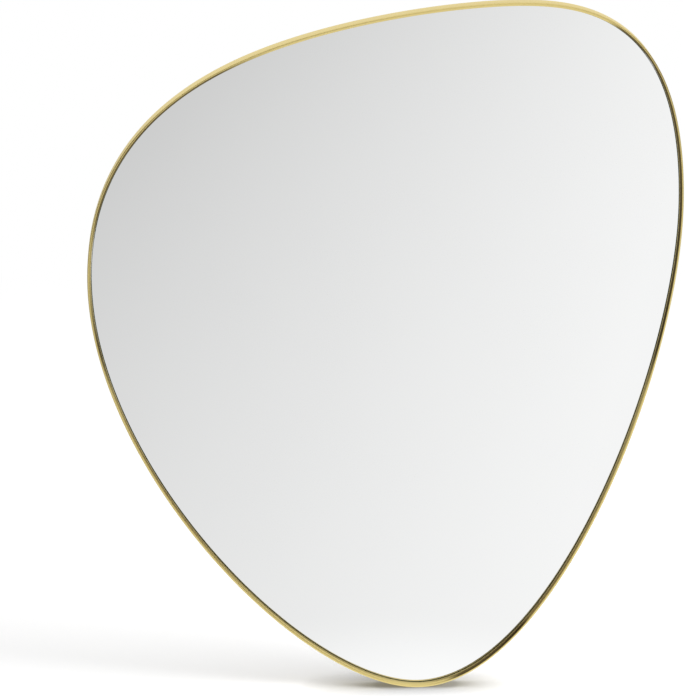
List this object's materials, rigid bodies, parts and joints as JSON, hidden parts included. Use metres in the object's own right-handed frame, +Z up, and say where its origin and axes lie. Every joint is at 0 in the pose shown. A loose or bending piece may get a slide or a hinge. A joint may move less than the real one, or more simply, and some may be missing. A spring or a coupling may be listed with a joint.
{
  "type": "irregular wall mirror",
  "caption": "Wall mirror with an irregular rounded outline in a slim brushed metal frame, with a backing board, hinged hanging rings and wall bumpers.",
  "frame": {"origin": "on the wall plane, midway between the pivots of the two hanging rings, plumb above the mirror's centre of mass", "axes": "+Z up as it hangs, -Y out of the glass into the room, +Y into the wall, +X to the right seen from the front"},
  "size_m": [0.666, 0.026, 0.7999],
  "materials": {
    "brushed_brass": "brushed along the bar",
    "mirror": "silvered float glass",
    "film": "smooth safety film",
    "foam": "closed-cell foam tape",
    "black_board": "painted fibreboard",
    "zinc_steel": "bright zinc plate",
    "rubber": "moulded, matt"
  },
  "bodies": {
    "mirror_body": {"frame": "brushed_brass", "mirror_glass": "mirror", "safety_film": "film", "foam_tape_1": "foam", "foam_tape_2": "foam", "foam_tape_3": "foam", "foam_tape_4": "foam", "foam_tape_5": "foam", "foam_tape_6": "foam", "back_board": "black_board", "board_tab_1": "brushed_brass", "tab_screw_1": "zinc_steel", "board_tab_2": "brushed_brass", "tab_screw_2": "zinc_steel", "board_tab_3": "brushed_brass", "tab_screw_3": "zinc_steel", "board_tab_4": "brushed_brass", "tab_screw_4": "zinc_steel", "board_tab_5": "brushed_brass", "tab_screw_5": "zinc_steel", "board_tab_6": "brushed_brass", "tab_screw_6": "zinc_steel", "board_tab_7": "brushed_brass", "tab_screw_7": "zinc_steel", "board_tab_8": "brushed_brass", "tab_screw_8": "zinc_steel", "hanger_strap_left": "zinc_steel", "hanger_screw_left_1": "zinc_steel", "hanger_screw_left_2": "zinc_steel", "hanger_strap_right": "zinc_steel", "hanger_screw_right_1": "zinc_steel", "hanger_screw_right_2": "zinc_steel", "wall_bumper_upper_right": "rubber", "wall_bumper_lower_right": "rubber", "wall_bumper_lower_left": "rubber", "wall_bumper_upper_left": "rubber"},
    "ring_left": {"d_ring_left": "zinc_steel"},
    "ring_right": {"d_ring_right": "zinc_steel"}
  },
  "joints": [
    {"name": "left_ring_hinge", "type": "hinge", "parent": "mirror_body", "child": "ring_left", "pos_m": [-0.17, -0.005, 0], "axis": [1, 0, 0], "range_deg": [0, 180]},
    {"name": "right_ring_hinge", "type": "hinge", "parent": "mirror_body", "child": "ring_right", "pos_m": [0.17, -0.005, 0], "axis": [1, 0, 0], "range_deg": [0, 180]}
  ]
}
